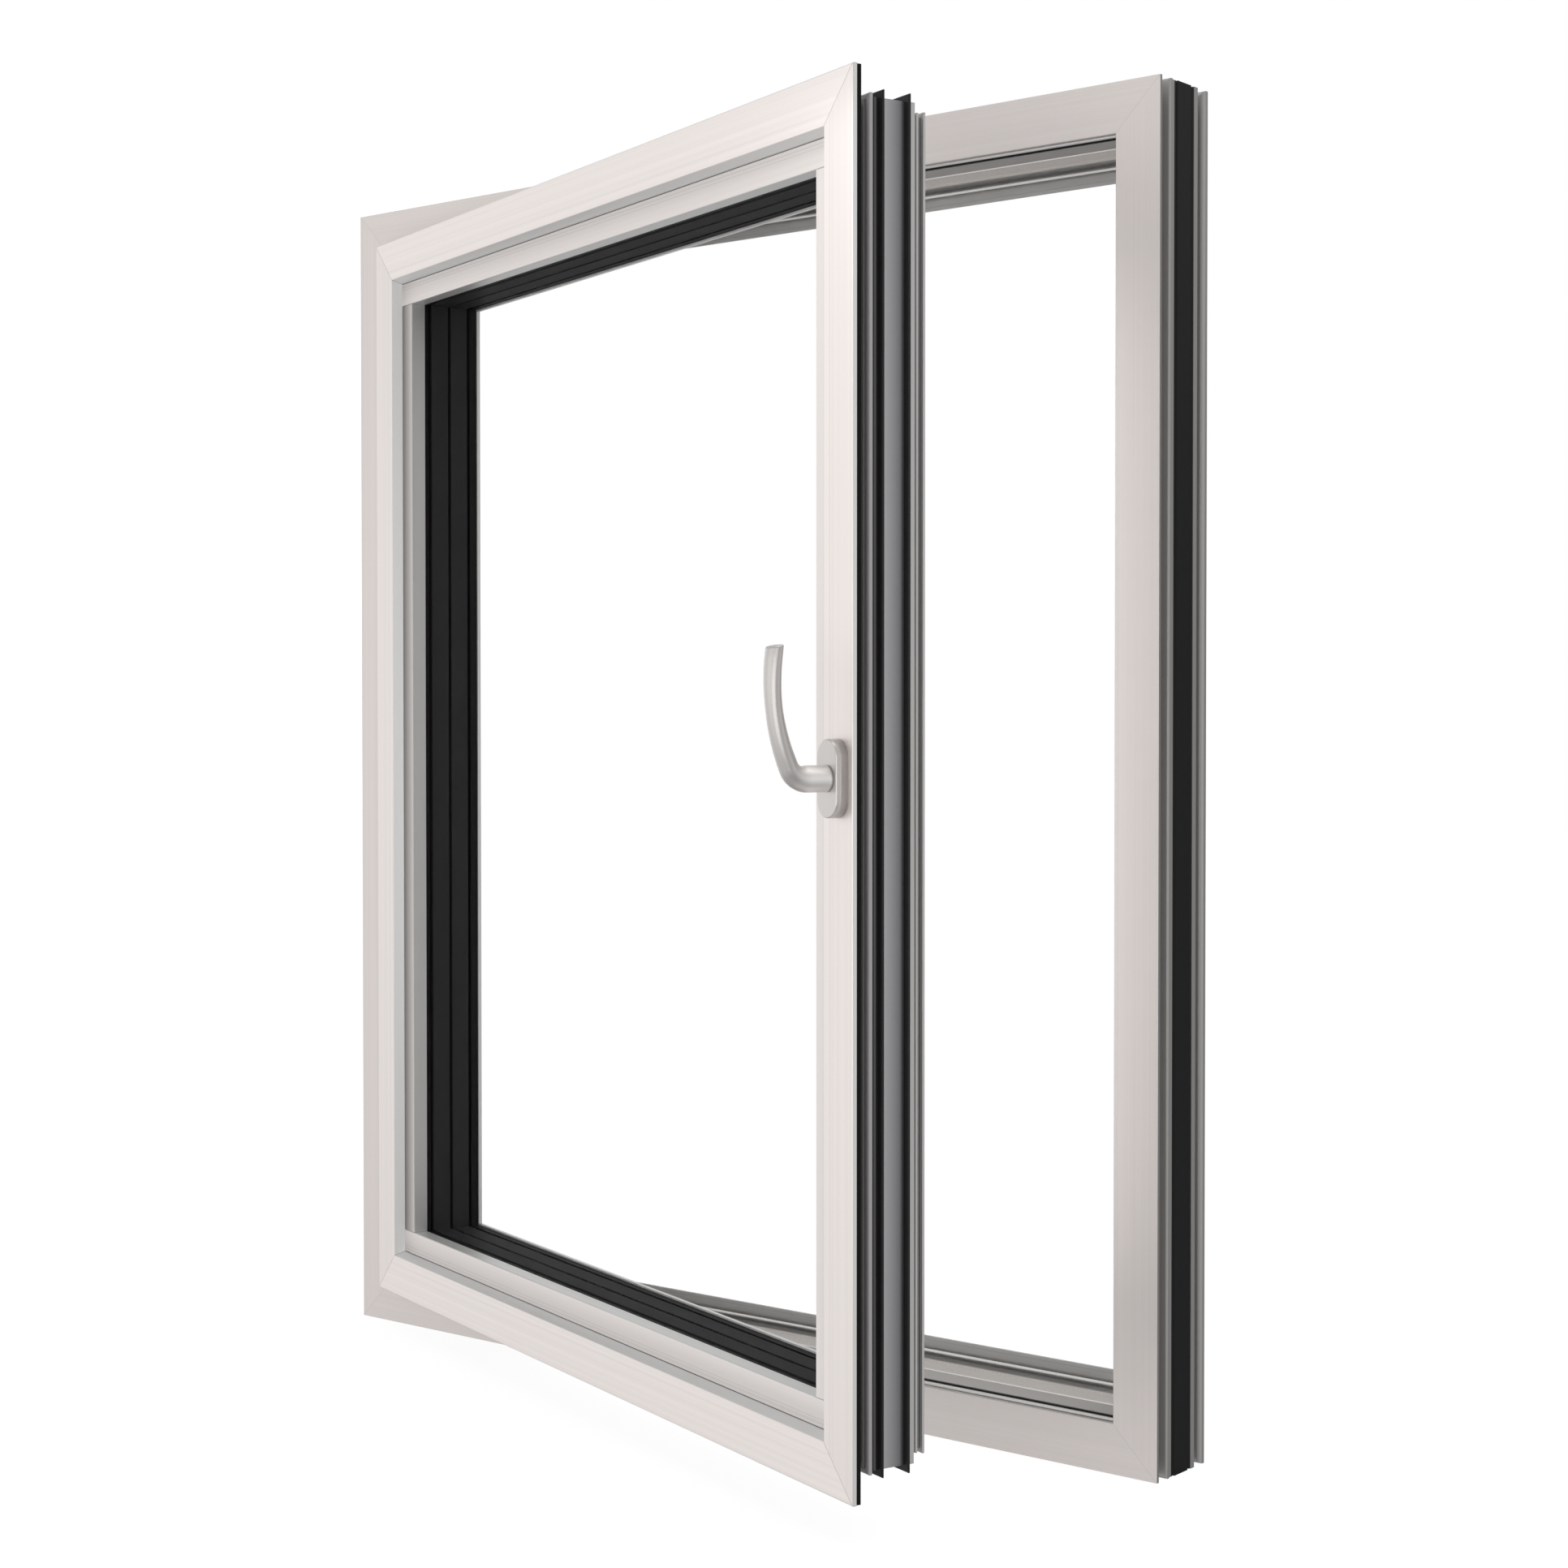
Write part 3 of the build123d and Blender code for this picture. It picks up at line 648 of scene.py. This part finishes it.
# %% Leaf channel foil
bars_round(
    "leaf_channel_foil", [(21.4, 44.5), (21.15, 44.7), (21.1, 57.0), (21.15, 69.4), (21.4, 69.6)],
    "leaf", ["foil"],
)
# The dark strip on the step beside the channel is painted shade: the shadow of the fin.
bars_round(
    "leaf_edge_strip", [(21.4, 36.6), (21.15, 36.8), (21.15, 39.0), (21.4, 39.2)],
    "leaf", ["strip"],
)
bars_round(
    "leaf_edge_cover", [(39.4, 92.8), (26.9, 93.7), (26.7, 93.9), (26.7, 96.0), (26.9, 96.2), (39.4, 96.2)],
    "leaf", ["outer_level", "outer_upright"],
)
print("foil, strip and cover laid")

# %% [markdown]
# ## Lining of the rebate
# The insulating bars of the fixed frame carry a thin grey lining where the leaf closes over them:
# a flat strip, and a strip up the slope that ends in two fine ribs. Their greys are painted shade,
# the flat strip darker than the slope. Three thin near-white strips are painted highlights on the
# start of the slope, the lip in front of it and the lip of the stop behind it.

# %% Rebate lining
bars_round(
    "rebate_lining", [(48.7, 29.6), (49.05, 29.9), (49.05, 59.0), (48.7, 59.2)],
    "frame", ["lining"],
)
bars_round(
    "rebate_ramp",
    [
        (48.7, 59.0), (49.05, 59.0), (49.5, 60.5), (55.0, 67.9), (55.7, 68.2),
        (55.8, 68.9), (56.0, 69.3), (56.7, 69.6), (56.8, 70.3), (57.0, 70.9), (56.8, 71.1), (48.5, 60.0),
    ],
    "frame", ["ramp"],
)
# The near-white strips below are painted highlights on the edges.
bars_round(
    "rebate_line", [(48.9, 58.9), (49.7, 59.2), (50.0, 59.8), (49.9, 60.6), (49.4, 60.8)],
    "frame", ["bright"],
)
bars_round(
    "rebate_lip_line",
    [(45.4, 19.85), (46.3, 19.75), (47.2, 20.1), (47.75, 20.9), (47.8, 22.0), (46.8, 22.0), (46.0, 20.6)],
    "frame", ["bright"],
)
bars_round(
    "stop_lip_line",
    [(62.4, 78.8), (63.4, 78.75), (64.3, 79.2), (64.7, 80.1), (64.7, 81.5), (63.8, 81.2), (62.9, 79.9)],
    "frame", ["bright"],
)
print("lining laid")

# %% [markdown]
# ## Rosette and lever
# The handle is the piece that a hand and an eye come closest to, so it gets smooth meshes in place
# of the coarser solids. The rosette is a stadium with a rounded front edge. The lever is a round
# neck that bends upwards and runs into a flatter, gently curved grip. Its rings follow the same
# centre line as the solid: straight, a tight arc, then a wide one.

# %% Rosette
spindle_inset, spindle_rise = 0.023, 0.008
spindle = Vector((leaf_half_width - spindle_inset, leaf_face, mid_height + spindle_rise))


def stadium(half_width, half_height, steps=20):
    middle = half_height - half_width
    points = []
    for side in (1, -1):
        for step in range(steps + 1):
            angle = math.pi * step / steps
            height = middle + half_width * math.sin(angle)
            points.append((side * half_width * math.cos(angle), side * height))
    return points


def join_rings(shape, rings):
    for here, there in zip(rings, rings[1:]):
        for first in range(len(here)):
            last = (first + 1) % len(here)
            shape.faces.new((here[first], here[last], there[last], there[first]))


def smooth(piece):
    for face in piece.data.polygons:
        face.use_smooth = True
    weighted = piece.modifiers.new("even_shading", "WEIGHTED_NORMAL")
    weighted.keep_sharp = True


rosette_thickness, rosette_round = 12.4, 1.4
rosette_half_width, rosette_half_height = 16.0, 35.0
shape = bmesh.new()
rings = []
levels = [(0.0, 0.0), (rosette_thickness - rosette_round, 0.0)]
for step in range(1, 7):
    angle = math.pi / 2 * step / 6
    levels.append((
        rosette_thickness - rosette_round * (1 - math.sin(angle)), rosette_round * (1 - math.cos(angle))
    ))
for reach, inset in levels:
    outline = stadium(rosette_half_width - inset, rosette_half_height - inset)
    rings.append([shape.verts.new(spindle + Vector((x * MM, -reach * MM, z * MM))) for x, z in outline])
join_rings(shape, rings)
shape.faces.new(rings[0])
shape.faces.new(rings[-1])
bmesh.ops.transform(shape, matrix=open_turn, verts=shape.verts)
rosette = finish_piece("smooth_rosette", shape, "leaf", ["handle"])
smooth(rosette)
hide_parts("rosette")
print("rosette faces:", len(rosette.data.polygons))

# %% [markdown]
# ### The lever's line and sections
# A lever like this is forged and ground by eye. Here a few sizes along its centre line are enough:
# the width, and how far it bulges to the front and to the back. What lies between is blended.

# %% Lever: centre line and sections
def lever_line(length):
    """Reach from the leaf, height and lean (degrees) of the centre line, in mm."""
    if length <= neck_length:
        return lever_foot + length, 0.0, 0.0
    length -= neck_length
    bend = math.radians(bend_angle)
    if length <= bend * bend_radius:
        turn = length / bend_radius
        reach = lever_foot + neck_length + bend_radius * math.sin(turn)
        return reach, bend_radius * (1 - math.cos(turn)), turn
    length -= bend * bend_radius
    turn = bend + length / grip_radius
    reach = lever_foot + neck_length + bend_radius * math.sin(bend)
    reach += grip_radius * (math.sin(turn) - math.sin(bend))
    height = bend_radius * (1 - math.cos(bend)) + grip_radius * (math.cos(bend) - math.cos(turn))
    return reach, height, turn


lever_foot = 13.0
neck_length, bend_radius, bend_angle, grip_radius = 22.6, 18.0, 66.0, 180.0
lever_height, lever_end_slope, lever_end_round = 116.6, math.radians(14.0), 1.3
bend_length = math.radians(bend_angle) * bend_radius
grip_length = 105.6
stations = [
    (0.0, (24.0, 12.0, 12.0)),
    (neck_length, (24.0, 12.0, 12.0)),
    (neck_length + bend_length, (21.0, 8.4, 8.5)),
    (neck_length + bend_length + grip_length / 2, (19.4, 7.4, 6.0)),
    (neck_length + bend_length + grip_length, (23.0, 7.9, 4.5)),
]


def lever_sizes(length):
    for (start, first), (end, last) in zip(stations, stations[1:]):
        if length <= end:
            share = (length - start) / (end - start)
            return [a + (b - a) * share for a, b in zip(first, last)]
    return list(stations[-1][1])


def lever_ring(length, around=48):
    """Points (x, reach, height) of one section, in mm."""
    reach, height, lean = lever_line(length)
    wide, front, back = lever_sizes(length)
    points = []
    for step in range(around):
        angle = 2 * math.pi * step / around
        side, out = math.cos(angle) * wide / 2, math.sin(angle)
        out *= back if out > 0 else front
        points.append(Vector((side, reach - out * math.sin(lean), height + out * math.cos(lean))))
    return points


whole = neck_length + bend_length + grip_length
print("lever line ends at", [round(value, 1) for value in lever_line(whole)])

# %% [markdown]
# ### The lever's mesh
# Rings of points along the line are joined to a tube. The tube ends in a slanted cut with a small
# rounding, so rings that would come too close to the cut are left out.

# %% Lever: mesh
def cut_height(points, middle_reach):
    """Slide each point along the grip onto the tilted end face."""
    return [
        Vector((p.x, p.y, lever_height - (p.y - middle_reach) * math.tan(lever_end_slope))) for p in points
    ]


def place_on_leaf(point):
    return spindle + Vector((point.x * MM, -point.y * MM, point.z * MM))


clear_of_cut = 3.0
ring_steps = 70
lengths = [whole * step / ring_steps for step in range(ring_steps - 2)]
rings = [lever_ring(length) for length in lengths]
end_reach = lever_line(whole)[0]
rings = [
    ring for ring in rings
    if max(p.z - cut.z for p, cut in zip(ring, cut_height(ring, end_reach))) < -clear_of_cut
]
last = lever_ring(whole)
rim = cut_height(last, end_reach)
middle = sum(rim, Vector()) / len(rim)
for step in range(7):
    angle = math.pi / 2 * step / 6
    drop = Vector((0, 0, -lever_end_round * (1 - math.sin(angle))))
    inset = lever_end_round * (1 - math.cos(angle))
    rings.append([p + drop - (p - middle).normalized() * inset for p in rim])
shape = bmesh.new()
rings = [[shape.verts.new(place_on_leaf(p)) for p in ring] for ring in rings]
join_rings(shape, rings)
shape.faces.new(rings[0])
shape.faces.new(rings[-1])
bmesh.ops.transform(shape, matrix=open_turn, verts=shape.verts)
lever = finish_piece("smooth_lever", shape, "handle", ["lever"])
smooth(lever)
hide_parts("lever_handle")
print("lever faces:", len(lever.data.polygons))

# %% [markdown]
# ## The studio
# The window stands on a pale floor in front of plain white. Six soft lights surround it like
# large sheets of lit cloth: each is brightest in one direction and fades away from it. Bright
# sheets to the left give the faces their even light, and a dim front leaves soft shade beside
# every raised edge. What the camera sees behind the window, past it or mirrored at a low angle in
# it, is the white backdrop itself. Light that bounced off the bars and then went through a pane
# must not find that white, or it would brighten the far bars, so `through` asks for rays that
# come straight from the camera.

# %% World
BACKDROP_WAY = 128.6         # straight on from the camera, in degrees
LIGHT_FOCUS = 5.0


def flat_way(degrees):
    return Vector((math.cos(math.radians(degrees)), math.sin(math.radians(degrees)), 0.0))


def lobe(tree, way, power):
    """Brightness of a soft light in a direction: 1 at its middle, fading to 0 at a right angle."""
    node = put(tree, "VectorMath", {"operation": "DOT_PRODUCT"})
    feed(tree, node.inputs[0], put(tree, "NewGeometry").outputs["Incoming"])
    feed(tree, node.inputs[1], -way)
    return calc(tree, "POWER", calc(tree, "MAXIMUM", node.outputs["Value"], 0.0), power)


def seen_backdrop(tree):
    """1 for rays that see the white backdrop: from the camera, through glass, or mirrored on."""
    rays = put(tree, "LightPath").outputs
    bounced = calc(tree, "ADD", rays["Diffuse Depth"], rays["Glossy Depth"], clamp=True)
    through = calc(tree, "MULTIPLY", rays["Is Transmission Ray"], calc(tree, "SUBTRACT", 1.0, bounced))
    ahead = lobe(tree, flat_way(BACKDROP_WAY), 1.0)
    onward = put(tree, "MapRange", Value=ahead, From_Min=0.97, From_Max=0.995).outputs[0]
    mirrored = calc(tree, "MULTIPLY", rays["Is Glossy Ray"], onward)
    return calc(tree, "MAXIMUM", rays["Is Camera Ray"], calc(tree, "MAXIMUM", through, mirrored))


SOFT_LIGHTS = [
    (flat_way(-51.4), 0.4), (flat_way(-128.6), 1.5), (flat_way(155.0), 1.5), (flat_way(5.0), 0.85),
    (Vector((0.15, 0.45, 0.88)), 1.8), (Vector((0.0, 0.0, -1.0)), 0.6),
]


def soft_light(tree):
    total = 0.0
    for way, weight in SOFT_LIGHTS:
        total = calc(tree, "MULTIPLY_ADD", lobe(tree, way, LIGHT_FOCUS), weight, total)
    return total


bpy.context.scene.view_settings.view_transform = "Standard"
world = bpy.data.worlds.new("studio")
bpy.context.scene.world = world
world.use_nodes = True
tree = world.node_tree
background = next(node for node in tree.nodes if node.type == "BACKGROUND")
background.inputs["Color"].default_value = (1.0, 1.0, 1.0, 1.0)
feed(tree, background.inputs["Strength"], calc(tree, "MAXIMUM", soft_light(tree), seen_backdrop(tree)))
print("soft lights:", len(SOFT_LIGHTS))

# %% [markdown]
# ## The floor
# The floor is a pale plane. Most of it glows with the same soft light as the studio around it, so
# that the lower half of the window is lit as well, and the rest is a plain pale surface that takes
# the window's shadow.

# %% Floor
FLOOR_GLOW, FLOOR_WHITE = 0.85, 1.1
floor_mesh = bpy.data.meshes.new("studio_floor")
reach = 14.0
corners = [(-reach, -reach, 0), (reach, -reach, 0), (reach, reach, 0), (-reach, reach, 0)]
floor_mesh.from_pydata(corners, [], [(0, 1, 2, 3)])
floor = bpy.data.objects.new("studio_floor", floor_mesh)
bpy.context.scene.collection.objects.link(floor)
material, tree, shader = start_material("pale_floor", 0.9, 0.0)
grains = use_group(tree, speckle, Size=0.5)
pale = blend_colours(tree, grains["Speckle"], shade((1, 1, 1), 0.88), shade((1, 1, 1), 0.92))
feed(tree, shader.inputs["Base Color"], pale)
seen_white = calc(tree, "MULTIPLY", seen_backdrop(tree), FLOOR_WHITE)
glow = calc(tree, "MAXIMUM", soft_light(tree), seen_white)
white = put(tree, "Emission", Strength=glow)
white.inputs["Color"].default_value = (1, 1, 1, 1)
mix = put(tree, "MixShader")
mix.inputs[0].default_value = FLOOR_GLOW
feed(tree, mix.inputs[1], shader.outputs[0])
feed(tree, mix.inputs[2], white.outputs[0])
output = next(node for node in tree.nodes if node.type == "OUTPUT_MATERIAL")
feed(tree, output.inputs["Surface"], mix.outputs[0])
floor_mesh.materials.append(material)
print("studio floor", 2 * reach, "m wide")

# %% [markdown]
# ## Three soft lamps
# A few lamps at a real distance make the light less even than the studio around it: one above the
# window, a small one over the handle, and a large one in front of the lock side.

# %% Lamps
def soft_lamp(name, place, target, size, watts):
    data = bpy.data.lights.new(name, "AREA")
    data.shape = "RECTANGLE"
    data.size, data.size_y = size
    data.energy = watts
    lamp = bpy.data.objects.new(name, data)
    lamp.location = place
    lamp.rotation_euler = (Vector(target) - Vector(place)).to_track_quat("-Z", "Y").to_euler()
    bpy.context.scene.collection.objects.link(lamp)
    return lamp


window_middle = (0.0, -0.1, mid_height)
soft_lamp("top_lamp", (0.2, -0.8, 3.0), window_middle, (1.6, 1.2), 8)
soft_lamp("handle_lamp", (0.40, -0.62, 1.25), (0.44, -0.42, 0.70), (0.3, 0.3), 0.35)
soft_lamp("front_lamp", (0.75, -2.0, 0.35), (0.4, -0.3, 0.5), (1.2, 1.6), 10)
